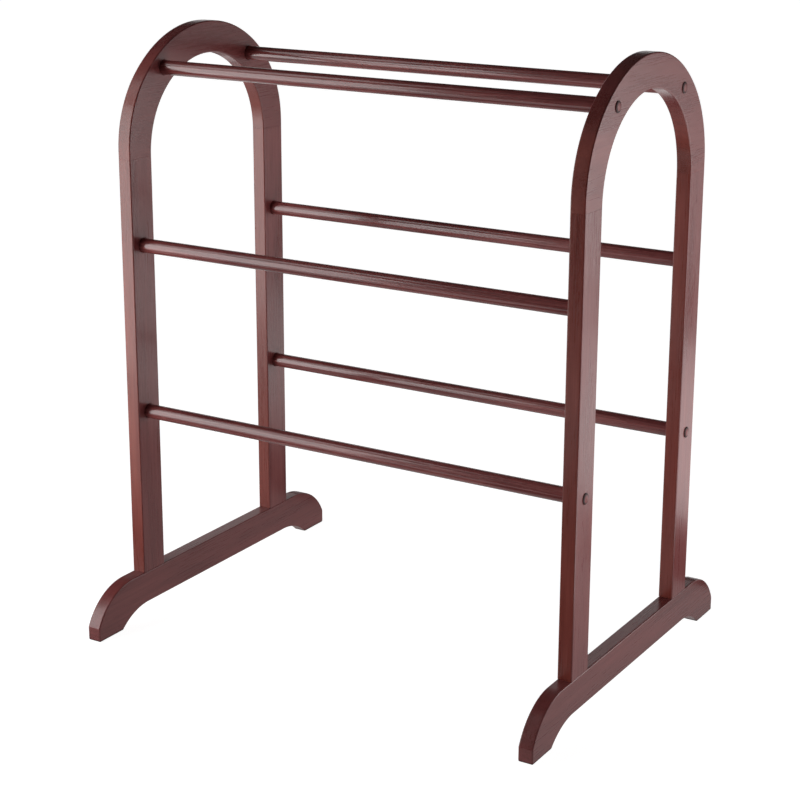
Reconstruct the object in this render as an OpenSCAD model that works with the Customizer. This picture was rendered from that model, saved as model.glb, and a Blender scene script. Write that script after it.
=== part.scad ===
// Free-standing quilt rack: two arched side frames on bracket feet, joined by
// three pairs of round rungs. The top and lower rungs are bolted through the
// frames, with a domed cap over each bolt head, and the middle rungs are glued
// into blind sockets between them.
// Frame: millimetres, +Z up, +X along the rungs, -Y is the front.
// Origin: on the floor, at the middle of the rack.

/* [Overall] */
// Width over the outer faces of the two side frames
rack_width = 700; // [600:5:900]
// Height from the floor to the crown of the arches
rack_height = 836; // [790:2:940]
// Front-to-back length of each foot rail
foot_length = 560; // [520:5:640]

/* [Side frames] */
// Front face to rear face of the uprights
frame_depth = 356; // [330:2:400]
// Thickness of the board that all frame pieces are cut from
board_t = 20.5; // [18:0.5:25]
// Width of the uprights
upright_w = 46; // [42:1:52]
// Band width of the arch at its crown
crown_band = 44.5; // [40:0.5:52]
// Height of the outer arch curve, from where it leaves the vertical
outer_rise = 160.5; // [156:0.5:170]
// Height of the inner arch curve, from where it leaves the vertical
inner_rise = 126.5; // [120:0.5:130]
// Radius of the outer shoulders, as a share of the outer rise
outer_shoulder = 0.92; // [0.85:0.01:0.95]
// Radius of the inner shoulders, as a share of the inner rise
inner_shoulder = 0.97; // [0.9:0.01:0.98]

/* [Foot rails] */
// Height of the top edge of the foot rails
rail_h = 69; // [64:1:76]
// Height of the raised underside between the toes
arch_h = 23; // [16:1:26]
// Length of each flat pad that meets the floor
pad_length = 51; // [44:1:60]
// Front-to-back run of the concave sweep behind each pad
sweep_run = 59; // [50:1:66]
// Front-to-back run of the convex toe
toe_run = 77; // [70:1:84]
// Height of the short upright end of each toe
toe_tip_h = 20; // [14:1:24]

/* [Rungs] */
// Diameter of every rung
rung_d = 20; // [18:0.5:22]
// Height of the lower pair above the floor
lower_rung_z = 306; // [280:1:330]
// Height of the middle pair above the floor
middle_rung_z = 544; // [500:1:560]
// Height of the top pair above the floor
top_rung_z = 781.5; // [778:0.5:784]
// Distance of each top rung from the middle plane of the rack
top_rung_y = 98.5; // [94:0.5:102]
// Depth of the round sockets that hold the rung ends
socket_depth = 7; // [5:0.5:9]

/* [Bolts and dowels] */
// Shank diameter of the connector bolts
bolt_d = 6; // [5:0.5:7]
// Shank length of the connector bolts
bolt_length = 24; // [20:1:30]
// Diameter of the domed bolt heads
head_d = 11; // [10:0.5:11.5]
// Height of the bolt heads
head_h = 3; // [2.5:0.1:3.2]
// Width across flats of the hexagon socket in each head
hex_af = 4; // [3:0.5:5]
// Diameter of the counterbore round each bolt head
counterbore_d = 12; // [12:0.5:13]
// Depth of the counterbore
counterbore_depth = 6.5; // [6.5:0.1:7.2]
// Diameter of the domed caps that close the counterbores
cap_d = 15; // [14:0.5:17]
// How far each cap stands out from the side frame
cap_rise = 2.2; // [1.5:0.1:3]
// Outer diameter of the threaded inserts
insert_d = 10; // [9:0.5:12]
// Length of the threaded inserts
insert_length = 13; // [10:1:16]
// Diameter of the glued dowels in the frame joints
dowel_d = 8; // [6:1:10]
// Length of the glued dowels
dowel_length = 38; // [30:1:44]

/* [Hidden] */
$fn = 96;

left = -1;
right = 1;
front = -1;
rear = 1;

wood_color = [0.36, 0.17, 0.13];
rung_color = [0.33, 0.14, 0.11];
bolt_color = [0.20, 0.12, 0.10];
insert_color = [0.72, 0.62, 0.42];
dowel_color = [0.80, 0.66, 0.46];

// radial room round a rung, dowel, insert, shank or tenon in its hole
slip = 0.05;
// how far a cutting tool runs past the face it leaves
past = 1;

outer_half = frame_depth / 2;
inner_half = outer_half - upright_w;
upright_y = outer_half - upright_w / 2;
outer_spring_z = rack_height - outer_rise;
inner_spring_z = rack_height - crown_band - inner_rise;
// the uprights end, and the arch begins, where the inner edge starts to curve
seam_z = inner_spring_z;
outer_r = outer_shoulder * outer_rise;
inner_r = inner_shoulder * inner_rise;

inner_face_x = rack_width / 2 - board_t;
board_mid_x = rack_width / 2 - board_t / 2;
// the bolted rungs bottom in their sockets, the middle rungs leave a film of glue at each end
bolted_half = inner_face_x + socket_depth;
glue_room = 0.4;
captive_half = bolted_half - glue_room;

toe_r = (toe_run * toe_run + pow(rail_h - toe_tip_h, 2)) / (2 * (rail_h - toe_tip_h));
sweep_r = (sweep_run * sweep_run + arch_h * arch_h) / (2 * arch_h);
sweep_start = foot_length / 2 - pad_length - sweep_run;

insert_inset = 1;
// room beyond the inner end of an insert, a bolt and a dowel
insert_room = 1;
bolt_room = 3;
dowel_room = 1;
insert_pocket = insert_inset + insert_length + insert_room;
bolt_pocket = bolt_length - (board_t - counterbore_depth - socket_depth) + bolt_room;
dowel_hole = dowel_length / 2 + dowel_room;
// spacing of the two dowels in a joint
dowel_gap = upright_w * 0.52;
// how far the tenon of a cap reaches into its counterbore
cap_tenon = 3;
hex_depth = 1.8;
// height of the upright rim under a dome, as a share of the whole head or cap
head_rim_share = 0.45;
cap_rim_share = 0.5;

// Joins two joined arcs per side into an arch: shoulders of radius r at the sides and a
// wider arc over the crown, tangent to both. half is half the width at the foot of the curve.
function crown_r(half, rise, r) =
    (pow(half - r, 2) + rise * rise - r * r) / (2 * (rise - r));

module arch_area(half, rise, r, spring_z) {
    big_r = crown_r(half, rise, r);
    reach = 3 * big_r;
    meet = atan2(big_r - rise, half - r);
    intersection() {
        translate([0, spring_z + rise - big_r])
            circle(r = big_r);
        translate([0, spring_z + rise - big_r])
            polygon([[0, 0], [reach * cos(meet), reach * sin(meet)],
                     [-reach * cos(meet), reach * sin(meet)]]);
    }
    for (side = [front, rear])
        translate([side * (half - r), spring_z])
            circle(r = r);
    translate([-half, seam_z - past])
        square([2 * half, spring_z - seam_z + past]);
}

// Turns an outline drawn in the Y-Z plane into a board of one side frame.
module board(side) {
    translate([side * board_mid_x - board_t / 2, 0, 0])
        rotate([90, 0, 90])
            linear_extrude(height = board_t)
                children();
}

// A round tool along X, from x_start towards the outside of the given side.
module x_rod(side, x_start, length, d) {
    translate([side * x_start, 0, 0])
        rotate([0, side * 90, 0])
            cylinder(d = d, h = length);
}

module rung_socket(side) {
    x_rod(side, inner_face_x - past, socket_depth + past, rung_d + 2 * slip);
}

module bolt_hole(side) {
    x_rod(side, inner_face_x - past, board_t + 2 * past, bolt_d + 2 * slip);
    x_rod(side, rack_width / 2 - counterbore_depth, counterbore_depth + past, counterbore_d);
}

// The two dowel holes across one frame joint, centred on the joint at height z.
module dowel_holes(side, end, z) {
    for (step = [-0.5, 0.5])
        translate([side * board_mid_x, end * upright_y + step * dowel_gap, z - dowel_hole])
            cylinder(d = dowel_d + 2 * slip, h = 2 * dowel_hole);
}

module foot_rail(side) {
    half = foot_length / 2;
    color(wood_color)
        difference() {
            board(side)
                difference() {
                    intersection() {
                        translate([-half, 0])
                            square([foot_length, rail_h]);
                        union() {
                            translate([toe_run - half, 0])
                                square([foot_length - 2 * toe_run, rail_h]);
                            for (end = [front, rear])
                                translate([end * (half - toe_run), rail_h - toe_r])
                                    circle(r = toe_r);
                        }
                    }
                    translate([-sweep_start, -past])
                        square([2 * sweep_start, arch_h + past]);
                    for (end = [front, rear])
                        translate([end * sweep_start, arch_h - sweep_r])
                            circle(r = sweep_r);
                }
            for (end = [front, rear])
                dowel_holes(side, end, rail_h);
        }
}

module upright(side, end) {
    color(wood_color)
        difference() {
            board(side)
                translate([end * upright_y - upright_w / 2, rail_h])
                    square([upright_w, seam_z - rail_h]);
            for (z = [lower_rung_z, middle_rung_z])
                translate([0, end * upright_y, z])
                    rung_socket(side);
            translate([0, end * upright_y, lower_rung_z])
                bolt_hole(side);
            dowel_holes(side, end, rail_h);
            dowel_holes(side, end, seam_z);
        }
}

module arch(side) {
    color(wood_color)
        difference() {
            board(side)
                difference() {
                    intersection() {
                        arch_area(outer_half, outer_rise, outer_r, outer_spring_z);
                        translate([-rack_height, seam_z])
                            square([2 * rack_height, rack_height]);
                    }
                    arch_area(inner_half, inner_rise, inner_r, inner_spring_z);
                }
            for (end = [front, rear]) {
                translate([0, end * top_rung_y, top_rung_z]) {
                    rung_socket(side);
                    bolt_hole(side);
                }
                dowel_holes(side, end, seam_z);
            }
        }
}

// A rung that is bolted through both side frames, with a pocket for an insert in each end.
module bolted_rung(y, z) {
    color(rung_color)
        translate([0, y, z])
            difference() {
                x_rod(right, -bolted_half, 2 * bolted_half, rung_d);
                for (side = [left, right]) {
                    x_rod(side, bolted_half - insert_pocket, insert_pocket + past,
                          insert_d + 2 * slip);
                    x_rod(side, bolted_half - bolt_pocket, bolt_pocket + past,
                          bolt_d + 2 * slip);
                }
            }
}

// A plain rung that is glued into blind sockets between the side frames.
module captive_rung(y, z) {
    color(rung_color)
        translate([0, y, z])
            x_rod(right, -captive_half, 2 * captive_half, rung_d);
}

// A low dome on an upright rim, of height h in all, standing on the X-Y plane.
module domed_disc(d, h, rim_h) {
    dome_r = (pow(d / 2, 2) + pow(h - rim_h, 2)) / (2 * (h - rim_h));
    cylinder(d = d, h = rim_h);
    intersection() {
        translate([0, 0, h - dome_r])
            sphere(r = dome_r);
        translate([0, 0, rim_h])
            cylinder(d = d, h = h);
    }
}

// Connector bolt with a low domed head and a hexagon socket, its head seated in the counterbore.
module bolt(side, y, z) {
    color(bolt_color)
        translate([side * (rack_width / 2 - counterbore_depth), y, z])
            rotate([0, side * 90, 0])
                difference() {
                    union() {
                        translate([0, 0, -bolt_length])
                            cylinder(d = bolt_d, h = bolt_length);
                        domed_disc(head_d, head_h, head_h * head_rim_share);
                    }
                    translate([0, 0, head_h - hex_depth])
                        rotate([0, 0, 30])
                            cylinder(d = hex_af / cos(30), h = hex_depth + past, $fn = 6);
                }
}

// Turned cap: its tenon closes the counterbore over a bolt head, and its dome stands outside.
module cap(side, y, z) {
    color(rung_color)
        translate([side * rack_width / 2, y, z])
            rotate([0, side * 90, 0])
                union() {
                    translate([0, 0, -cap_tenon])
                        cylinder(d = counterbore_d - 2 * slip, h = cap_tenon);
                    domed_disc(cap_d, cap_rise, cap_rise * cap_rim_share);
                }
}

// Threaded insert sunk into the end of a bolted rung.
module insert(side, y, z) {
    color(insert_color)
        translate([0, y, z])
            difference() {
                x_rod(side, bolted_half - insert_inset - insert_length, insert_length, insert_d);
                x_rod(side, bolted_half - insert_pocket, insert_pocket, bolt_d + 2 * slip);
            }
}

// The pair of glued dowels across one frame joint at height z.
module dowels(side, end, z) {
    color(dowel_color)
        for (step = [-0.5, 0.5])
            translate([side * board_mid_x, end * upright_y + step * dowel_gap,
                       z - dowel_length / 2])
                cylinder(d = dowel_d, h = dowel_length);
}

module left_foot_rail() { foot_rail(left); }
module right_foot_rail() { foot_rail(right); }

module left_front_upright() { upright(left, front); }
module left_rear_upright() { upright(left, rear); }
module right_front_upright() { upright(right, front); }
module right_rear_upright() { upright(right, rear); }

module left_arch() { arch(left); }
module right_arch() { arch(right); }

module top_front_rung() { bolted_rung(front * top_rung_y, top_rung_z); }
module top_rear_rung() { bolted_rung(rear * top_rung_y, top_rung_z); }
module middle_front_rung() { captive_rung(front * upright_y, middle_rung_z); }
module middle_rear_rung() { captive_rung(rear * upright_y, middle_rung_z); }
module lower_front_rung() { bolted_rung(front * upright_y, lower_rung_z); }
module lower_rear_rung() { bolted_rung(rear * upright_y, lower_rung_z); }

module left_top_front_bolt() { bolt(left, front * top_rung_y, top_rung_z); }
module left_top_rear_bolt() { bolt(left, rear * top_rung_y, top_rung_z); }
module left_lower_front_bolt() { bolt(left, front * upright_y, lower_rung_z); }
module left_lower_rear_bolt() { bolt(left, rear * upright_y, lower_rung_z); }
module right_top_front_bolt() { bolt(right, front * top_rung_y, top_rung_z); }
module right_top_rear_bolt() { bolt(right, rear * top_rung_y, top_rung_z); }
module right_lower_front_bolt() { bolt(right, front * upright_y, lower_rung_z); }
module right_lower_rear_bolt() { bolt(right, rear * upright_y, lower_rung_z); }

module left_top_front_insert() { insert(left, front * top_rung_y, top_rung_z); }
module left_top_rear_insert() { insert(left, rear * top_rung_y, top_rung_z); }
module left_lower_front_insert() { insert(left, front * upright_y, lower_rung_z); }
module left_lower_rear_insert() { insert(left, rear * upright_y, lower_rung_z); }
module right_top_front_insert() { insert(right, front * top_rung_y, top_rung_z); }
module right_top_rear_insert() { insert(right, rear * top_rung_y, top_rung_z); }
module right_lower_front_insert() { insert(right, front * upright_y, lower_rung_z); }
module right_lower_rear_insert() { insert(right, rear * upright_y, lower_rung_z); }

module left_top_front_cap() { cap(left, front * top_rung_y, top_rung_z); }
module left_top_rear_cap() { cap(left, rear * top_rung_y, top_rung_z); }
module left_lower_front_cap() { cap(left, front * upright_y, lower_rung_z); }
module left_lower_rear_cap() { cap(left, rear * upright_y, lower_rung_z); }
module right_top_front_cap() { cap(right, front * top_rung_y, top_rung_z); }
module right_top_rear_cap() { cap(right, rear * top_rung_y, top_rung_z); }
module right_lower_front_cap() { cap(right, front * upright_y, lower_rung_z); }
module right_lower_rear_cap() { cap(right, rear * upright_y, lower_rung_z); }

module left_front_foot_dowels() { dowels(left, front, rail_h); }
module left_rear_foot_dowels() { dowels(left, rear, rail_h); }
module right_front_foot_dowels() { dowels(right, front, rail_h); }
module right_rear_foot_dowels() { dowels(right, rear, rail_h); }
module left_front_arch_dowels() { dowels(left, front, seam_z); }
module left_rear_arch_dowels() { dowels(left, rear, seam_z); }
module right_front_arch_dowels() { dowels(right, front, seam_z); }
module right_rear_arch_dowels() { dowels(right, rear, seam_z); }

left_foot_rail();
right_foot_rail();
left_front_upright();
left_rear_upright();
right_front_upright();
right_rear_upright();
left_arch();
right_arch();
top_front_rung();
top_rear_rung();
middle_front_rung();
middle_rear_rung();
lower_front_rung();
lower_rear_rung();
left_top_front_bolt();
left_top_rear_bolt();
left_lower_front_bolt();
left_lower_rear_bolt();
right_top_front_bolt();
right_top_rear_bolt();
right_lower_front_bolt();
right_lower_rear_bolt();
left_top_front_insert();
left_top_rear_insert();
left_lower_front_insert();
left_lower_rear_insert();
right_top_front_insert();
right_top_rear_insert();
right_lower_front_insert();
right_lower_rear_insert();
left_top_front_cap();
left_top_rear_cap();
left_lower_front_cap();
left_lower_rear_cap();
right_top_front_cap();
right_top_rear_cap();
right_lower_front_cap();
right_lower_rear_cap();
left_front_foot_dowels();
left_rear_foot_dowels();
right_front_foot_dowels();
right_rear_foot_dowels();
left_front_arch_dowels();
left_rear_arch_dowels();
right_front_arch_dowels();
right_rear_arch_dowels();
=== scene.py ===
import math

import bmesh
import bpy
from mathutils import Matrix, Vector


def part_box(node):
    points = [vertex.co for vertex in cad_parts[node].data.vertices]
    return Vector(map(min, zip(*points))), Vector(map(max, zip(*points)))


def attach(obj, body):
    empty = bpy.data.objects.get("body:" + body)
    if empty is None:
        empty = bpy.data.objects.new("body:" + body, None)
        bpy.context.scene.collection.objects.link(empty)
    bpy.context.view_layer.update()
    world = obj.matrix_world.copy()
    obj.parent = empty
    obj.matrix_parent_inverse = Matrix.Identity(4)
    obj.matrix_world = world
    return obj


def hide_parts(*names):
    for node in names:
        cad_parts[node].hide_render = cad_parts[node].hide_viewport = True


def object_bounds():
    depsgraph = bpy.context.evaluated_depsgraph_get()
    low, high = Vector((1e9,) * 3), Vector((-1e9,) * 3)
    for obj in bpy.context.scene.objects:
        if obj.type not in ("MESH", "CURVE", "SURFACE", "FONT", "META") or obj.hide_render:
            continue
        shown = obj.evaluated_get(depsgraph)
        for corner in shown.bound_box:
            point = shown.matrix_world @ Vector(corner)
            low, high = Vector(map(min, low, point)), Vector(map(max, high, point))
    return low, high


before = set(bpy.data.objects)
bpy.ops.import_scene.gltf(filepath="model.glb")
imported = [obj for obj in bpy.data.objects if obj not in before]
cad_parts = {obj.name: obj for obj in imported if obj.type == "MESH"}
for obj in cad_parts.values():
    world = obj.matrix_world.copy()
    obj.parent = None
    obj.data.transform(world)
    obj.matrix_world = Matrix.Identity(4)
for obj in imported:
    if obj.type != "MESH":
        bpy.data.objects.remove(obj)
CAD_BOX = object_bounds()

CENTRE = (CAD_BOX[0] + CAD_BOX[1]) / 2
UPRIGHT_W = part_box("right_front_upright")[1].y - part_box("right_front_upright")[0].y
OUTER_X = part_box("right_arch")[1].x

AXES = "XYZ"
SIDES = {"left": -1, "right": 1}
ENDS = ("front", "rear")
JOINTS = ("foot", "arch")
RUNG_LEVELS = ("top", "middle", "lower")
BOLTED_LEVELS = ("top", "lower")

# The arch: the rise of its outer and inner curve, the depth of wood at the crown, and the radius
# of each curve's shoulders as a share of its rise
OUTER_RISE = 0.1605
INNER_RISE = 0.1265
CROWN_BAND = 0.0445
OUTER_SHOULDER = 0.92
INNER_SHOULDER = 0.97

# The foot rail, from each end inwards: its flat pad, the sweep up from the pad, and the rounded
# toe above them; then the heights of the toe's tip and of the raised underside
PAD_LENGTH = 0.051
SWEEP_RUN = 0.059
TOE_RUN = 0.077
TOE_TIP = 0.020
UNDERSIDE = 0.023

# Holes, and the room in them beyond the inner end of an insert, a bolt and a dowel
COUNTERBORE_R = 0.006
COUNTERBORE_DEPTH = 0.0065
BOLT_R = 0.003
INSERT_ROOM = 0.001
BOLT_ROOM = 0.003
DOWEL_ROOM = 0.001
SLIP = 0.00005

# Edges of the woodwork: the eased long edges of a board, the lower end of an upright, board ends
# at a seam with the arch, the rims of round parts and counterbores, the mouths of rung sockets,
# and the corners of the foot rail's outline
EASE = 0.0018
END_CHAMFER = 0.0004
SEAM_CHAMFER = 0.00012
RIM_CHAMFER = 0.0004
SOCKET_CHAMFER = 0.0009
CORNER_R = 0.0026

# The bolt's thread: each ring rises from THREAD_FOOT to THREAD_CREST of its pitch. Under the head
# the shank has no thread for PLAIN_SHANK, and is a neck for NECK_LENGTH of that
THREAD_PITCH = 0.001
THREAD_DEPTH = 0.00055
THREAD_FOOT = 0.0002
THREAD_CREST = 0.0005
PLAIN_SHANK = 0.003
NECK_LENGTH = 0.0025
NECK_EASE = 0.0001

# The bolt's head: the share of its height that is rim, the ease of the rim, and how far inside
# the rim the dome starts
HEAD_RIM_SHARE = 0.45
HEAD_EASE = 0.0002
DOME_INSET = 0.0003

# The hexagon socket: its size across flats, its depth, and a mouth that flares by HEX_FLARE
# between HEX_LEAD below the top of the head and HEX_LIP above it
HEX_FLATS = 0.004
HEX_R = HEX_FLATS / 2 / math.cos(math.radians(30))
HEX_DEPTH = 0.0018
HEX_LEAD = 0.0004
HEX_LIP = 0.0002
HEX_FLARE = 1.25

# The cap: the radius of its shoulder, the share of its rise that is dome, and the undercut below
# its rim, with the undercut's points as shares of its size, inwards and up
CAP_SHOULDER = 0.0007
CAP_DOME = 0.6
CAP_UNDERCUT = 0.0006
UNDERCUT_POINTS = ((1.5, 0), (0.25, 0.6), (0, 1))

# How finely curves are cut up, and which angles count as corners
QUARTER_TURN = math.radians(90)
ARC_STEP = math.radians(3)
CORNER_STEP = math.radians(15)
LEAST_CORNER = math.radians(20)
SHARP = math.radians(35)
EASE_STEPS = 5
DOME_STEPS = 8
ROUND = 64

# How far a cutting tool reaches past the surface that it cuts, and the slack when the place of a
# hole is tested against the box of a board
PAST = 0.002
DRILL_MARGIN = 0.0001

# Stain in its dark, red and warm places, the painted shade on the rim of a cap, and what multiplies
# it on surfaces that face front or rear, and in pores and end grain
DARK_STAIN = (0.128, 0.0255, 0.0250)
RED_STAIN = (0.230, 0.0545, 0.0525)
WARM_STAIN = (0.365, 0.1030, 0.0950)
# Painted shade: the colour of a cap's rim, where its dome turns away from facing straight out
CAP_RIM_SHADE = (0.034, 0.0050, 0.0045)
WARM_EDGE = (1.08, 0.93, 0.72)
PORE_TINT = (0.35, 0.30, 0.28)

# How far each step of a seed moves a noise along X, Y and Z, and where that starts over
SEED_STRIDES = (3.71, 7.13, 5.37)
SEED_SPANS = (17, 23, 29)

# Growth rings: the spacing, the lean of the heart line, how many spacings they wander, and how
# sharply each darkens towards its end
RING_SPACING = 0.0042
RING_LEAN = 0.02
RING_WANDER = 5
RING_SHARPNESS = 2.5


# ---------------------------------------------------------------- mesh helpers

def add_object(name, bm):
    """Turns bm into an object with outward normals, and frees bm."""
    bmesh.ops.recalc_face_normals(bm, faces=bm.faces)
    if bm.calc_volume(signed=True) < 0:
        bmesh.ops.reverse_faces(bm, faces=bm.faces)
    mesh = bpy.data.meshes.new(name)
    bm.to_mesh(mesh)
    bm.free()
    obj = bpy.data.objects.new(name, mesh)
    bpy.context.scene.collection.objects.link(obj)
    return obj


def join_rings(bm, low, high):
    """Faces between two closed rings. A ring of one vertex is a pole."""
    count = max(len(low), len(high))
    for i in range(count):
        j = (i + 1) % count
        if len(low) == 1:
            bm.faces.new((low[0], high[j], high[i]))
        elif len(high) == 1:
            bm.faces.new((low[i], low[j], high[0]))
        else:
            bm.faces.new((low[i], low[j], high[j], high[i]))


def lathe(bm, profile, place, segments=ROUND):
    """Adds the solid that profile, (radius, height) pairs, sweeps round the Z axis of place."""
    rings = []
    for radius, height in profile:
        count = segments if radius > 0 else 1
        ring = []
        for i in range(count):
            turn = 2 * math.pi * i / segments
            point = Vector((radius * math.cos(turn), radius * math.sin(turn), height))
            ring.append(bm.verts.new(place @ point))
        rings.append(ring)
    for low, high in zip(rings, rings[1:]):
        join_rings(bm, low, high)


def along_x(x, y, z, side=1):
    """A placement whose Z axis points along +X for side 1, or along -X for side -1."""
    turn = Matrix.Rotation(QUARTER_TURN * side, 4, "Y")
    return Matrix.Translation((x, y, z)) @ turn


def cut(obj, cutter_mesh):
    """Takes the closed shells in the bmesh cutter_mesh out of obj."""
    cutter = add_object("cutter", cutter_mesh)
    modifier = obj.modifiers.new("cut", "BOOLEAN")
    modifier.operation = "DIFFERENCE"
    modifier.solver = "EXACT"
    modifier.object = cutter
    view = bpy.context.evaluated_depsgraph_get()
    result = bpy.data.meshes.new_from_object(obj.evaluated_get(view))
    obj.modifiers.clear()
    obj.data = result
    bpy.data.objects.remove(cutter)


def shade(obj):
    """Smooth shading that keeps broad faces flat and corners crisp."""
    obj.data.shade_smooth()
    obj.data.set_sharp_from_angle(angle=SHARP)
    weighted = obj.modifiers.new("weighted normals", "WEIGHTED_NORMAL")
    weighted.keep_sharp = True


def finish_piece(obj, node_name, material):
    """Shades a piece smoothly, gives it its material, hangs it on the root body and hides the CAD node
    that it stands for.
    """
    shade(obj)
    obj.data.materials.clear()
    obj.data.materials.append(material)
    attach(obj, "root")
    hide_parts(node_name)


# ---------------------------------------------------------------- boards

def eased_corner(half_t):
    """(inset, x) pairs round an eased edge, from the narrow edge of a board to its broad face."""
    turn = [QUARTER_TURN * i / EASE_STEPS for i in range(EASE_STEPS + 1)]
    return [(EASE * (1 - math.cos(a)), half_t - EASE + EASE * math.sin(a)) for a in turn]


def strip_board(bm, stations, x_mid, half_t):
    """A board swept through stations of (outer point, inner point, inward direction, shrink) in Y-Z."""
    rings = []
    for outer, inner, inward, shrink in stations:
        corner = [(inset + shrink, x - shrink) for inset, x in eased_corner(half_t)]
        front_half = [(outer + inward * inset, x) for inset, x in corner]
        front_half += [(inner - inward * inset, x) for inset, x in reversed(corner)]
        ring = front_half + [(point, -x) for point, x in reversed(front_half)]
        rings.append([bm.verts.new((x_mid + x, point.x, point.y)) for point, x in ring])
    for low, high in zip(rings, rings[1:]):
        join_rings(bm, low, high)
    bm.faces.new(rings[0])
    bm.faces.new(rings[-1])


def outline_board(bm, outline, x_mid, half_t):
    """A board with a closed outline in Y-Z, eased along every edge."""
    corner = eased_corner(half_t)
    profile = [(inset, -x) for inset, x in reversed(corner)] + corner
    rings = []
    for inset, x in profile:
        rings.append([bm.verts.new((x_mid + x, p.x, p.y)) for p in shrunk(outline, inset)])
    for low, high in zip(rings, rings[1:]):
        join_rings(bm, low, high)
    bm.faces.new(rings[0])
    bm.faces.new(rings[-1])


def shrunk(outline, inset):
    """The counter-clockwise outline, moved inwards by inset."""
    moved = []
    for i, point in enumerate(outline):
        before = (point - outline[i - 1]).normalized()
        after = (outline[(i + 1) % len(outline)] - point).normalized()
        normals = Vector((-before.y, before.x)), Vector((-after.y, after.x))
        mitre = (normals[0] + normals[1]) / (1 + normals[0].dot(normals[1]))
        moved.append(point + mitre * inset)
    return moved


def arc(centre, radius, start, end):
    """Points on an arc in Y-Z, both ends included, with angles in radians."""
    steps = max(2, math.ceil(abs(end - start) / ARC_STEP))
    angles = [start + (end - start) * i / steps for i in range(steps + 1)]
    return [Vector((centre[0] + radius * math.cos(a), centre[1] + radius * math.sin(a)))
            for a in angles]


def softened(outline):
    """The outline with each corner sharper than LEAST_CORNER rounded to CORNER_R."""
    points = []
    for i, point in enumerate(outline):
        before = (point - outline[i - 1]).normalized()
        after = (outline[(i + 1) % len(outline)] - point).normalized()
        turn = math.atan2(before.cross(after), before.dot(after))
        if abs(turn) < LEAST_CORNER:
            points.append(point)
            continue
        start = point - before * CORNER_R * math.tan(abs(turn) / 2)
        spoke = Vector((before.y, -before.x)) * math.copysign(CORNER_R, turn)
        steps = max(2, math.ceil(abs(turn) / CORNER_STEP))
        for k in range(steps + 1):
            points.append(start - spoke + Matrix.Rotation(turn * k / steps, 2) @ spoke)
    return points


def crown_radius(half, rise, shoulder):
    """Radius of the wide arc that closes an arch over two shoulder arcs."""
    return ((half - shoulder) ** 2 + rise ** 2 - shoulder ** 2) / (2 * (rise - shoulder))


def arch_point(half, rise, shoulder, spring_z, angle):
    """The point on a three-centred arch where its outward normal has the given angle."""
    crown = crown_radius(half, rise, shoulder)
    meet = math.atan2(crown - rise, half - shoulder)
    if meet < angle < math.pi - meet:
        centre, radius = Vector((0, spring_z + rise - crown)), crown
    else:
        centre = Vector((math.copysign(half - shoulder, math.cos(angle)), spring_z))
        radius = shoulder
    return centre + radius * Vector((math.cos(angle), math.sin(angle)))


def rung_holes(bm, side_name, lowest, highest):
    """Adds the tools for one side's rung sockets and bolt holes between lowest and highest."""
    side = SIDES[side_name]
    x_range = sorted(abs(p.x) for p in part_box(side_name + "_arch"))
    inner_x, thickness = x_range[0], x_range[1] - x_range[0]
    socket_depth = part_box("top_front_rung")[1].x - inner_x
    seat = thickness - COUNTERBORE_DEPTH
    for level in RUNG_LEVELS:
        for end_name in ENDS:
            low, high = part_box(f"{level}_{end_name}_rung")
            y, z = (low.y + high.y) / 2, (low.z + high.z) / 2
            if not (lowest.y < y < highest.y and lowest.z < z < highest.z):
                continue
            socket_r = (high.z - low.z) / 2 + SLIP
            rim_r = socket_r + SOCKET_CHAMFER
            profile = [(0, -PAST), (rim_r, -PAST), (rim_r, 0), (socket_r, SOCKET_CHAMFER),
                       (socket_r, socket_depth)]
            if level in BOLTED_LEVELS:
                shank_r = BOLT_R + SLIP
                rim_r = COUNTERBORE_R + RIM_CHAMFER
                profile += [(shank_r, socket_depth), (shank_r, seat), (COUNTERBORE_R, seat),
                            (COUNTERBORE_R, thickness - RIM_CHAMFER), (rim_r, thickness),
                            (rim_r, thickness + PAST), (0, thickness + PAST)]
            else:
                profile.append((0, socket_depth))
            lathe(bm, profile, along_x(side * inner_x, y, z, side))


def dowel_holes(bm, side_name, lowest, highest):
    """Adds the tools for one side's dowel holes between lowest and highest."""
    for joint in JOINTS:
        for end_name in ENDS:
            low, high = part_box(f"{side_name}_{end_name}_{joint}_dowels")
            z = (low.z + high.z) / 2
            if not (lowest.y < low.y and high.y < highest.y and lowest.z <= z <= highest.z):
                continue
            radius = (high.x - low.x) / 2
            hole_r = radius + SLIP
            depth = (high.z - low.z) / 2 + DOWEL_ROOM
            profile = [(0, -depth), (hole_r, -depth), (hole_r, depth), (0, depth)]
            for y in (low.y + radius, high.y - radius):
                lathe(bm, profile, Matrix.Translation(((low.x + high.x) / 2, y, z)), ROUND // 2)


def board_piece(node_name, side_name, fill, material):
    """Builds the board that stands for a CAD node: fill draws it, then its holes are drilled."""
    low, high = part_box(node_name)
    bm = bmesh.new()
    fill(bm, low, high)
    obj = add_object(node_name + "_board", bm)
    tools = bmesh.new()
    margin = Vector((0, DRILL_MARGIN, DRILL_MARGIN))
    rung_holes(tools, side_name, low - margin, high + margin)
    dowel_holes(tools, side_name, low - margin, high + margin)
    cut(obj, tools)
    finish_piece(obj, node_name, material)


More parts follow.
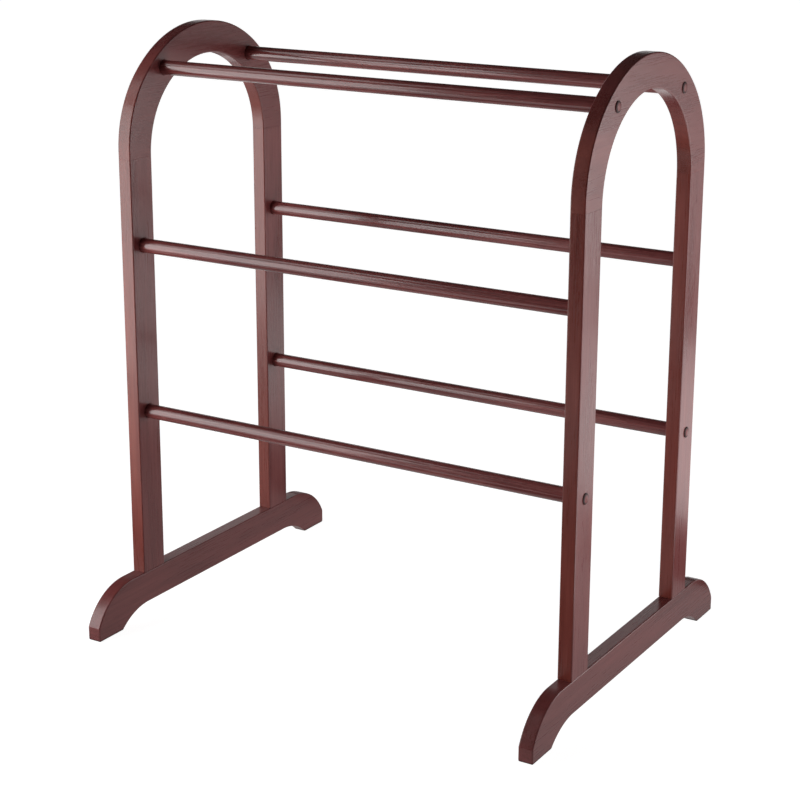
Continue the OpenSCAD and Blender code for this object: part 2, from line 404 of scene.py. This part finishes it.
def fill_arch(bm, low, high):
    """The arch: a band between two three-centred curves, square to the uprights at its feet."""
    outer_half = high.y
    inner_half = outer_half - UPRIGHT_W
    outer_spring = high.z - OUTER_RISE
    inner_spring = high.z - CROWN_BAND - INNER_RISE
    outer = (outer_half, OUTER_RISE, OUTER_SHOULDER * OUTER_RISE, outer_spring)
    inner = (inner_half, INNER_RISE, INNER_SHOULDER * INNER_RISE, inner_spring)
    steps = round(math.pi / ARC_STEP)
    stations = []
    for i in range(steps + 1):
        angle = math.pi * i / steps
        inward = -Vector((math.cos(angle), math.sin(angle)))
        stations.append((arch_point(*outer, angle), arch_point(*inner, angle), inward, 0))
    for end in (1, -1):
        inward = Vector((-end, 0))
        feet = [(Vector((end * outer_half, low.z + rise)), Vector((end * inner_half, low.z + rise)),
                 inward, shrink)
                for rise, shrink in ((0, SEAM_CHAMFER), (SEAM_CHAMFER, 0))]
        stations = feet + stations if end > 0 else stations + feet[::-1]
    strip_board(bm, stations, (low.x + high.x) / 2, (high.x - low.x) / 2)


def fill_upright(bm, low, high):
    """An upright: a straight board with all four long edges eased."""
    stations = []
    for z, shrink in ((low.z, END_CHAMFER), (low.z + END_CHAMFER, 0),
                      (high.z - SEAM_CHAMFER, 0), (high.z, SEAM_CHAMFER)):
        stations.append((Vector((high.y, z)), Vector((low.y, z)), Vector((-1, 0)), shrink))
    strip_board(bm, stations, (low.x + high.x) / 2, (high.x - low.x) / 2)


def fill_foot_rail(bm, low, high):
    """A foot rail: rounded toes, flat pads, and a raised underside with a concave sweep to each pad."""
    half, top = high.y, high.z
    toe_r = (TOE_RUN ** 2 + (top - TOE_TIP) ** 2) / (2 * (top - TOE_TIP))
    sweep_r = (SWEEP_RUN ** 2 + UNDERSIDE ** 2) / (2 * UNDERSIDE)
    toe_y, pad_y = half - TOE_RUN, half - PAD_LENGTH
    sweep_y = pad_y - SWEEP_RUN
    toe_end = math.atan2(TOE_TIP - (top - toe_r), TOE_RUN)
    sweep_end = math.atan2(sweep_r - UNDERSIDE, SWEEP_RUN)
    rear_half = arc((sweep_y, UNDERSIDE - sweep_r), sweep_r, QUARTER_TURN, sweep_end)
    rear_half += [Vector((half, 0))]
    rear_half += arc((toe_y, top - toe_r), toe_r, toe_end, QUARTER_TURN)
    outline = rear_half + [Vector((-p.x, p.y)) for p in reversed(rear_half)]
    outline_board(bm, softened(outline), (low.x + high.x) / 2, (high.x - low.x) / 2)


# ---------------------------------------------------------------- rungs, bolts and caps

def bolted_rung(bm, low, high):
    """A rung with eased ends and a stepped pocket in each for its insert and bolt."""
    insert_low, insert_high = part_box("right_top_front_insert")
    pocket_r = (insert_high.z - insert_low.z) / 2 + SLIP
    pocket_x = insert_low.x - INSERT_ROOM
    bolt_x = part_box("right_top_front_bolt")[0].x - BOLT_ROOM
    radius, end_x = (high.z - low.z) / 2, high.x
    half = [(0, bolt_x), (BOLT_R + SLIP, bolt_x), (BOLT_R + SLIP, pocket_x), (pocket_r, pocket_x),
            (pocket_r, end_x), (radius - RIM_CHAMFER, end_x), (radius, end_x - RIM_CHAMFER)]
    profile = [(r, -x) for r, x in half] + half[::-1]
    lathe(bm, profile, along_x(0, (low.y + high.y) / 2, (low.z + high.z) / 2))


def captive_rung(bm, low, high):
    """A plain rung with eased ends."""
    radius, end_x = (high.z - low.z) / 2, high.x
    half = [(0, end_x), (radius - RIM_CHAMFER, end_x), (radius, end_x - RIM_CHAMFER)]
    profile = [(r, -x) for r, x in half] + half[::-1]
    lathe(bm, profile, along_x(0, (low.y + high.y) / 2, (low.z + high.z) / 2))


def bolt(bm, low, high, side):
    """A connector bolt: a thread drawn as closed rings, a plain neck, and a low domed head."""
    head_r = (high.z - low.z) / 2
    ends = sorted((abs(low.x), abs(high.x)))
    seat = OUTER_X - COUNTERBORE_DEPTH - ends[0]
    top = ends[1] - ends[0]
    head_h = top - seat
    rim_h = head_h * HEAD_RIM_SHARE
    dome_h = head_h - rim_h
    dome_r = (head_r ** 2 + dome_h ** 2) / (2 * dome_h)
    root_r = BOLT_R - THREAD_DEPTH
    neck_r = BOLT_R - NECK_EASE
    profile = [(0, 0), (root_r, 0)]
    turns = int((seat - PLAIN_SHANK) / THREAD_PITCH)
    for i in range(turns):
        z = i * THREAD_PITCH
        profile += [(root_r, z + THREAD_FOOT), (BOLT_R, z + THREAD_CREST)]
    profile += [(root_r, turns * THREAD_PITCH), (neck_r, seat - NECK_LENGTH), (neck_r, seat)]
    profile += [(head_r - HEAD_EASE, seat), (head_r, seat + HEAD_EASE),
                (head_r, seat + rim_h - HEAD_EASE)]
    widest = math.asin((head_r - DOME_INSET) / dome_r)
    for i in range(DOME_STEPS):
        angle = widest * (1 - i / DOME_STEPS)
        profile.append((dome_r * math.sin(angle), top - dome_r + dome_r * math.cos(angle)))
    profile.append((0, top))
    y, z = (low.y + high.y) / 2, (low.z + high.z) / 2
    lathe(bm, profile, along_x(side * ends[0], y, z, side))


def bolt_piece(node_name, side, material):
    """Builds a bolt and cuts the hexagon socket in its head."""
    low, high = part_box(node_name)
    bm = bmesh.new()
    bolt(bm, low, high, side)
    obj = add_object(node_name + "_screw", bm)
    tool = bmesh.new()
    outer_end = max(abs(low.x), abs(high.x))
    mouth_r = HEX_R * HEX_FLARE
    profile = [(0, -HEX_DEPTH), (HEX_R, -HEX_DEPTH), (HEX_R, -HEX_LEAD), (mouth_r, HEX_LIP),
               (mouth_r, PAST), (0, PAST)]
    place = along_x(side * outer_end, (low.y + high.y) / 2, (low.z + high.z) / 2, side)
    lathe(tool, profile, place, segments=6)
    cut(obj, tool)
    finish_piece(obj, node_name, material)


def cap_piece(node_name, side, material):
    """A turned cap: a tenon in the mouth of the counterbore, and a dome with a round shoulder."""
    low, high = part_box(node_name)
    radius = (high.z - low.z) / 2
    ends = sorted((abs(low.x), abs(high.x)))
    face, top = OUTER_X - ends[0], ends[1] - ends[0]
    dome_h = (top - face) * CAP_DOME
    dome_r = (radius ** 2 + dome_h ** 2) / (2 * dome_h)
    tenon_r = COUNTERBORE_R - SLIP
    reach, hub = dome_r - CAP_SHOULDER, radius - CAP_SHOULDER
    shoulder_z = top - dome_r + math.sqrt(reach ** 2 - hub ** 2)
    widest = math.asin(hub / reach)
    profile = [(0, 0), (tenon_r - RIM_CHAMFER, 0), (tenon_r, RIM_CHAMFER), (tenon_r, face)]
    profile += [(radius - inwards * CAP_UNDERCUT, face + up * CAP_UNDERCUT)
                for inwards, up in UNDERCUT_POINTS]
    for i in range(DOME_STEPS + 1):
        angle = QUARTER_TURN + (widest - QUARTER_TURN) * i / DOME_STEPS
        profile.append((hub + CAP_SHOULDER * math.sin(angle),
                        shoulder_z + CAP_SHOULDER * math.cos(angle)))
    for i in range(1, DOME_STEPS):
        angle = widest * (1 - i / DOME_STEPS)
        profile.append((dome_r * math.sin(angle), top - dome_r + dome_r * math.cos(angle)))
    profile.append((0, top))
    bm = bmesh.new()
    lathe(bm, profile, along_x(side * ends[0], (low.y + high.y) / 2, (low.z + high.z) / 2, side))
    finish_piece(add_object(node_name + "_button", bm), node_name, material)


# ---------------------------------------------------------------- materials

def node(tree, kind, inputs=None, **settings):
    """Adds a shader node. inputs maps a socket to a value or to another node's output."""
    made = tree.nodes.new(kind)
    for key, value in settings.items():
        setattr(made, key, value)
    for key, value in (inputs or {}).items():
        if isinstance(value, bpy.types.NodeSocket):
            tree.links.new(value, made.inputs[key])
        else:
            made.inputs[key].default_value = value
    return made


def math_node(tree, operation, first, second=0.0, clamp=False):
    """The result of one operation on one or two values."""
    return node(tree, "ShaderNodeMath", {0: first, 1: second}, operation=operation,
                use_clamp=clamp).outputs[0]


def remap(tree, value, source, target=(0.0, 1.0)):
    """Value carried from the source range to the target range, and held at the ends."""
    return node(tree, "ShaderNodeMapRange",
                {"Value": value, "From Min": source[0], "From Max": source[1],
                 "To Min": target[0], "To Max": target[1]}).outputs["Result"]


def tinted(tree, amount, colour, tint):
    """The colour, multiplied by tint where amount is 1 and left alone where it is 0."""
    # The sockets of each data type share their names, so the colour ones are picked by number
    first_colour, second_colour, result = 6, 7, 2
    mix = node(tree, "ShaderNodeMix",
               {"Factor": amount, first_colour: colour, second_colour: (*tint, 1)},
               data_type="RGBA", blend_type="MULTIPLY")
    return mix.outputs[result]


def colour_ramp(tree, value, stops):
    """Colour by value, from stops of (position, colour)."""
    ramp = node(tree, "ShaderNodeValToRGB", {"Fac": value})
    elements = ramp.color_ramp.elements
    while len(elements) < len(stops):
        elements.new(0.5)
    for element, (position, colour) in zip(elements, stops):
        element.position = position
        element.color = (*colour, 1)
    return ramp.outputs["Color"]


def new_material(name):
    """An empty material and its node tree."""
    material = bpy.data.materials.new(name)
    material.use_nodes = True
    material.node_tree.nodes.clear()
    return material, material.node_tree


def relief_normal(tree, height, strength, distance, below=None):
    """The normal of a surface with fine relief, on top of the relief below if there is one."""
    inputs = {"Height": height, "Strength": strength, "Distance": distance}
    if below is not None:
        inputs["Normal"] = below
    return node(tree, "ShaderNodeBump", inputs).outputs[0]


def add_shader(tree, colour, rough, finish):
    """Ends a material in a Principled shader. finish gives the values of its other sockets."""
    shader = node(tree, "ShaderNodeBsdfPrincipled",
                  {"Base Color": colour, "Roughness": rough, **finish})
    node(tree, "ShaderNodeOutputMaterial", {"Surface": shader.outputs[0]})


def grain_noise(tree, where, grain, seed, width, stretch, detail, rough=0.5):
    """Noise with features of the given width across the grain axis, and stretched along it."""
    scale = [1 / width] * 3
    scale[AXES.index(grain)] /= stretch
    offset = [seed * stride % span for stride, span in zip(SEED_STRIDES, SEED_SPANS)]
    place = node(tree, "ShaderNodeMapping", {"Vector": where, "Location": offset, "Scale": scale})
    noise = node(tree, "ShaderNodeTexNoise", {"Vector": place.outputs[0], "Scale": 1.0,
                                              "Detail": detail, "Roughness": rough})
    return noise.outputs["Fac"]


def growth_rings(tree, where, grain, heart, wander):
    """Growth rings, from 0 in early wood to 1 in late wood, about a heart line that leans a little."""
    along = AXES.index(grain)
    flat = [1.0, 1.0, 1.0]
    flat[along] = 0.0
    parts = node(tree, "ShaderNodeSeparateXYZ", {0: where}).outputs
    drift = math_node(tree, "MULTIPLY", parts[along], RING_LEAN)
    shift = node(tree, "ShaderNodeCombineXYZ", {(along + 1) % 3: drift}).outputs[0]
    local = where
    for operation, other in (("SUBTRACT", heart), ("ADD", shift), ("MULTIPLY", flat)):
        local = node(tree, "ShaderNodeVectorMath", {0: local, 1: other}, operation=operation).outputs[0]
    radius = node(tree, "ShaderNodeVectorMath", {0: local}, operation="LENGTH").outputs["Value"]
    wave = math_node(tree, "MULTIPLY", wander, RING_SPACING * RING_WANDER)
    radius = math_node(tree, "ADD", radius, wave)
    phase = math_node(tree, "FRACT", math_node(tree, "DIVIDE", radius, RING_SPACING))
    return math_node(tree, "POWER", phase, RING_SHARPNESS)


def stain_depth(tree, clouds, layers, tone, figure):
    """How light the stain is. Each layer of (noise, share) sways it, the more the higher figure is."""
    cloud_share, middle = 0.55, 0.21
    depth = node(tree, "ShaderNodeMath", {0: clouds, 1: cloud_share, 2: tone + middle},
                 operation="MULTIPLY_ADD").outputs[0]
    for layer, share in layers:
        sway = math_node(tree, "SUBTRACT", layer, 0.5)
        depth = math_node(tree, "ADD", depth, math_node(tree, "MULTIPLY", sway, share * figure))
    return depth


def facing(tree, coords, axis, source):
    """How squarely the surface faces along an axis, either way, remapped from the source range."""
    parts = node(tree, "ShaderNodeSeparateXYZ", {0: coords.outputs["Normal"]}).outputs
    return remap(tree, math_node(tree, "ABSOLUTE", parts[axis]), source)


def stained_wood(name, grain, seed, heart, tone=0.0, gloss=0.0, figure=1.0, coat=0.12,
                 warm=False):
    """Hardwood under a dark red-brown stain and a satin lacquer, with its grain along one axis."""
    material, tree = new_material(name)
    coords = node(tree, "ShaderNodeTexCoord")
    where = coords.outputs["Object"]

    clouds = grain_noise(tree, where, grain, seed, width=0.045, stretch=5, detail=3)
    fibres = grain_noise(tree, where, grain, seed + 1, width=0.0015, stretch=32, detail=4, rough=0.62)
    streaks = grain_noise(tree, where, grain, seed + 2, width=0.0065, stretch=40, detail=3)
    pores = grain_noise(tree, where, grain, seed + 3, width=0.00042, stretch=13, detail=1)
    ripple = grain_noise(tree, where, grain, seed + 4, width=0.016, stretch=4, detail=2)
    rings = growth_rings(tree, where, grain, heart, streaks)
    pore = remap(tree, pores, (0.60, 0.72))

    layers = ((fibres, 0.28), (streaks, 0.34), (rings, -0.10))
    depth = stain_depth(tree, clouds, layers, tone, figure)
    colour = colour_ramp(tree, depth, ((0.28, DARK_STAIN), (0.55, RED_STAIN), (0.82, WARM_STAIN)))

    pore_share, end_share = 0.22, 0.10
    end_grain = facing(tree, coords, grain, (0.45, 0.95))
    dark = math_node(tree, "MAXIMUM", math_node(tree, "MULTIPLY", pore, pore_share),
                     math_node(tree, "MULTIPLY", end_grain, end_share))
    colour = tinted(tree, dark, colour, PORE_TINT)
    if warm:
        colour = tinted(tree, facing(tree, coords, "Y", (0.55, 0.95)), colour, WARM_EDGE)

    smoothest, roughest, pore_roughness = 0.24, 0.34, 0.08
    rough = remap(tree, math_node(tree, "ADD", fibres, clouds), (0.7, 1.3),
                  (smoothest - gloss, roughest - gloss))
    rough = math_node(tree, "ADD", rough, math_node(tree, "MULTIPLY", pore, pore_roughness),
                      clamp=True)

    wave = relief_normal(tree, ripple, strength=0.5, distance=0.0006)
    pore_sink = 0.5
    relief = math_node(tree, "SUBTRACT", fibres, math_node(tree, "MULTIPLY", pore, pore_sink))
    normal = relief_normal(tree, relief, strength=0.5, distance=0.00006, below=wave)
    add_shader(tree, colour, rough,
               {"Normal": normal, "IOR": 1.47,
                "Coat Weight": coat, "Coat Roughness": 0.10, "Coat IOR": 1.5})
    return material


def stained_button_rim_shade(name):
    """Turned caps in the same stain, with painted shade round the rim of each, where the dome turns
    away from facing straight out.
    """
    material, tree = new_material(name)
    coords = node(tree, "ShaderNodeTexCoord")
    where = coords.outputs["Object"]
    fibres = grain_noise(tree, where, "Y", 201, width=0.0010, stretch=14, detail=4, rough=0.6)
    pores = grain_noise(tree, where, "Y", 202, width=0.00042, stretch=6, detail=1)
    fibre_share = 0.25
    # Painted shade: darker where the cap's surface turns from facing straight out along X towards its
    # rim
    depth = math_node(tree, "ADD", facing(tree, coords, "X", (0.955, 0.998)),
                      math_node(tree, "MULTIPLY", fibres, fibre_share))
    colour = colour_ramp(tree, depth, ((0.35, CAP_RIM_SHADE), (0.85, RED_STAIN)))
    rough = remap(tree, math_node(tree, "ADD", depth, pores), (0.6, 1.4), (0.60, 0.38))
    normal = relief_normal(tree, fibres, strength=0.5, distance=0.00006)
    add_shader(tree, colour, rough, {"Normal": normal, "IOR": 1.36})
    return material


def bronzed_steel(name):
    """Steel with a mottled dark bronze finish."""
    material, tree = new_material(name)
    where = node(tree, "ShaderNodeTexCoord").outputs["Object"]
    mottle = grain_noise(tree, where, "X", 5, width=0.0018, stretch=1, detail=4)
    fine = grain_noise(tree, where, "X", 6, width=0.00035, stretch=1, detail=2)
    dark_bronze, light_bronze = (0.150, 0.078, 0.064), (0.300, 0.175, 0.145)
    colour = colour_ramp(tree, mottle, ((0.3, dark_bronze), (0.7, light_bronze)))
    rough = remap(tree, mottle, (0.3, 0.7), (0.30, 0.46))
    normal = relief_normal(tree, fine, strength=0.4, distance=0.00003)
    add_shader(tree, colour, rough, {"Normal": normal, "Metallic": 0.35, "IOR": 1.5})
    return material


def plated_brass(name):
    """Yellow brass of the inserts, with fine turning marks round them."""
    material, tree = new_material(name)
    where = node(tree, "ShaderNodeTexCoord").outputs["Object"]
    turning = grain_noise(tree, where, "X", 8, width=0.004, stretch=0.05, detail=2)
    tarnish = grain_noise(tree, where, "X", 9, width=0.003, stretch=1, detail=3)
    dull_brass, bright_brass = (0.36, 0.24, 0.10), (0.62, 0.45, 0.20)
    colour = colour_ramp(tree, tarnish, ((0.3, dull_brass), (0.7, bright_brass)))
    rough = remap(tree, tarnish, (0.3, 0.7), (0.24, 0.40))
    normal = relief_normal(tree, turning, strength=0.4, distance=0.00005)
    add_shader(tree, colour, rough, {"Normal": normal, "Metallic": 1.0})
    return material


def raw_beech(name):
    """Unfinished beech of the dowels, with the short dark flecks of that wood."""
    material, tree = new_material(name)
    where = node(tree, "ShaderNodeTexCoord").outputs["Object"]
    fibres = grain_noise(tree, where, "Z", 11, width=0.0008, stretch=22, detail=3)
    flecks = grain_noise(tree, where, "Z", 12, width=0.0005, stretch=5, detail=1)
    dark_beech, light_beech, fleck_tint = (0.42, 0.27, 0.14), (0.64, 0.46, 0.28), (0.55, 0.40, 0.30)
    colour = colour_ramp(tree, fibres, ((0.3, dark_beech), (0.7, light_beech)))
    colour = tinted(tree, remap(tree, flecks, (0.6, 0.7), (0.0, 0.5)), colour, fleck_tint)
    rough = remap(tree, fibres, (0.3, 0.7), (0.55, 0.75))
    normal = relief_normal(tree, fibres, strength=0.5, distance=0.0001)
    add_shader(tree, colour, rough, {"Normal": normal})
    return material


def floor_material():
    """Plain matt white that glows like a light table, a little more far from the rack."""
    material, tree = new_material("pale_floor")
    where = node(tree, "ShaderNodeTexCoord").outputs["Object"]
    distance = node(tree, "ShaderNodeVectorMath", {0: where}, operation="LENGTH").outputs["Value"]
    glow = remap(tree, distance, (0.8, 3.0), (0.96, 1.0))
    add_shader(tree, (0.35, 0.35, 0.35, 1), 0.9,
               {"Specular IOR Level": 0.0,
                "Emission Color": (1, 1, 1, 1), "Emission Strength": glow})
    return material


# ---------------------------------------------------------------- stage

def make_floor():
    """A round floor that sweeps up into a low wall. Only the camera sees it."""
    flat_r, sweep_r, wall_h = 4.5, 1.2, 2.6
    sweep_steps = 6
    profile = [(radius, 0) for radius in (0, 1.0, 2.0, 3.0, flat_r)]
    for i in range(1, sweep_steps + 1):
        angle = QUARTER_TURN * i / sweep_steps
        profile.append((flat_r + sweep_r * math.sin(angle), sweep_r * (1 - math.cos(angle))))
    profile.append((flat_r + sweep_r, wall_h))
    bm = bmesh.new()
    lathe(bm, profile, Matrix.Identity(4), segments=96)
    floor = add_object("floor", bm)
    floor.data.shade_smooth()
    floor.data.materials.append(floor_material())
    floor.visible_diffuse = False
    floor.visible_glossy = False


def soft_light(name, place, target, size, radiance):
    """A rectangular soft light of even brightness, which the camera doesn't see."""
    data = bpy.data.lights.new(name, "AREA")
    data.shape = "RECTANGLE"
    data.size, data.size_y = size
    data.energy = radiance * math.pi * size[0] * size[1]
    light = bpy.data.objects.new(name, data)
    light.location = place
    light.rotation_euler = (Vector(target) - Vector(place)).to_track_quat("-Z", "Y").to_euler()
    light.visible_camera = False
    bpy.context.scene.collection.objects.link(light)


def standing_light(name, distance, bearing, height, size, radiance, aim=None):
    """An upright soft light round the rack. Bearing 0 is in front of it and 90 on its left."""
    angle = math.radians(bearing)
    place = (-math.sin(angle) * distance, -math.cos(angle) * distance, height)
    soft_light(name, place, (0, 0, height if aim is None else aim), size, radiance)


def floor_light(name, x, y, size, radiance):
    """A soft light just over the floor, facing up, for the light that a white floor gives back."""
    lift = 0.002
    soft_light(name, (x, y, lift), (x, y, 1), size, radiance)


def make_lights():
    """Keys in front on the left, fills on the right and behind, and light off a white floor."""
    # Each row gives the distance, bearing, height, size and radiance, or the place, size and radiance
    key_away, fill_away = 1.7, 2.2
    tall, low_fill, patch = (0.45, 1.5), (0.9, 0.75), (1.2, 1.0)
    standing_light("key_right", key_away, 35, 0.725, tall, 3.65)
    standing_light("key_middle", key_away, 50, 0.725, tall, 4.5)
    standing_light("key_left", key_away, 65, 0.35, (0.45, 0.75), 1.7)
    standing_light("key_top", key_away, 55, 2.2, (0.6, 1.0), 2.2, aim=0.6)
    standing_light("rear_right_low", fill_away, 230, 0.35, low_fill, 3.95)
    standing_light("rear_right", fill_away, 230, 1.1, low_fill, 2.1)
    standing_light("rear_low", 2.4, 204, 0.3, (1.3, 0.6), 0.45)
    standing_light("right_low", fill_away, 262, 0.35, (1.1, 0.75), 1.45)
    standing_light("rear_left", fill_away, 150, 0.95, (1.45, 0.7), 0.83)
    floor_light("floor_right", 1.3, 0.0, patch, 3.1)
    floor_light("floor_rear_right", 0.6, 1.1, patch, 1.5)
    floor_light("floor_rear_left", -0.7, 1.1, patch, 1.05)
    floor_light("floor_left", -1.3, 0.0, patch, 0.78)
    floor_light("floor_front_left", -0.7, -1.1, patch, 0.95)
    floor_light("floor_under", 0.0, 0.0, (1.3, 0.7), 0.4)
    world = bpy.data.worlds.new("studio")
    world.use_nodes = True
    background = world.node_tree.nodes["Background"]
    background.inputs["Color"].default_value = (1, 1, 1, 1)
    background.inputs["Strength"].default_value = 0.03
    bpy.context.scene.world = world


def make_camera():
    """The camera stands in front, to the right and above, aimed almost at the middle of the rack."""
    azimuth, elevation, roll = math.radians(31.4), math.radians(15.6), math.radians(0.18)
    distance, slide, rise = 2.616, -0.010, -0.008
    back = Vector((math.sin(azimuth) * math.cos(elevation),
                   -math.cos(azimuth) * math.cos(elevation),
                   math.sin(elevation)))
    right = Vector((math.cos(azimuth), math.sin(azimuth), 0))
    up = back.cross(right)
    data = bpy.data.cameras.new("camera")
    data.lens = 85.9
    data.sensor_width = 36
    data.shift_y = -0.065
    camera = bpy.data.objects.new("camera", data)
    camera.location = CENTRE + back * distance + right * slide + up * rise
    turn = (-back).to_track_quat("-Z", "Y").to_matrix().to_4x4() @ Matrix.Rotation(roll, 4, "Z")
    camera.rotation_euler = turn.to_euler()
    bpy.context.scene.collection.objects.link(camera)
    bpy.context.scene.camera = camera


# ---------------------------------------------------------------- the rack

def heart_of(node_name, below, aside, grain):
    """A heart line for the growth rings, outside the piece, so that its faces are flat-sawn."""
    low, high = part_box(node_name)
    middle = (low + high) / 2
    if grain == "X":
        return middle + Vector((0, aside, -below))
    return middle + Vector((-below, aside if grain == "Z" else 0, aside if grain == "Y" else 0))


def build_frames():
    """The boards of both side frames, each with its own wood, which takes five seeds in a row."""
    seed = 1
    variety = 0.01
    for side_name in SIDES:
        rail = side_name + "_foot_rail"
        heart = heart_of(rail, 0.055, 0.018, "Y")
        wood = stained_wood(rail + "_wood", "Y", seed, heart, tone=-0.03, figure=0.7)
        board_piece(rail, side_name, fill_foot_rail, wood)
        seed += 10
        for end_name in ENDS:
            upright = f"{side_name}_{end_name}_upright"
            heart = heart_of(upright, 0.045 + variety * (seed % 3), 0.012, "Z")
            wood = stained_wood(upright + "_wood", "Z", seed, heart, tone=variety * (seed % 3 - 1),
                                figure=0.7, warm=True)
            board_piece(upright, side_name, fill_upright, wood)
            seed += 11
        arch = side_name + "_arch"
        heart = heart_of(arch, 0.06, 0.03, "Y")
        wood = stained_wood(arch + "_wood", "Y", seed, heart, figure=0.5, warm=True)
        board_piece(arch, side_name, fill_arch, wood)
        seed += 12


def build_rungs():
    """The six rungs. Those of the top and lower levels are bolted, the others captive."""
    seed = 101
    for level in RUNG_LEVELS:
        for end_name in ENDS:
            rung = f"{level}_{end_name}_rung"
            bm = bmesh.new()
            shape = bolted_rung if level in BOLTED_LEVELS else captive_rung
            shape(bm, *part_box(rung))
            wood = stained_wood(rung + "_wood", "X", seed, heart_of(rung, 0.03, 0.01, "X"),
                                tone=-0.02, gloss=0.07, figure=1.8, coat=0.5)
            finish_piece(add_object(rung + "_rod", bm), rung, wood)
            seed += 13


def build_hardware():
    """Bolts and caps, and better materials for the inserts and dowels."""
    steel = bronzed_steel("bronzed_steel")
    brass = plated_brass("plated_brass")
    beech = raw_beech("raw_beech")
    cap_wood = stained_button_rim_shade("cap_wood")
    for side_name, side in SIDES.items():
        for end_name in ENDS:
            for level in BOLTED_LEVELS:
                bolt_piece(f"{side_name}_{level}_{end_name}_bolt", side, steel)
                paint_node(f"{side_name}_{level}_{end_name}_insert", brass)
                cap_piece(f"{side_name}_{level}_{end_name}_cap", side, cap_wood)
            for joint in JOINTS:
                paint_node(f"{side_name}_{end_name}_{joint}_dowels", beech)


def paint_node(node_name, material):
    """Gives a CAD node that stays a better material."""
    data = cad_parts[node_name].data
    data.materials.clear()
    data.materials.append(material)


build_frames()
build_rungs()
build_hardware()
make_floor()
make_lights()
make_camera()
bpy.context.scene.view_settings.view_transform = "Standard"
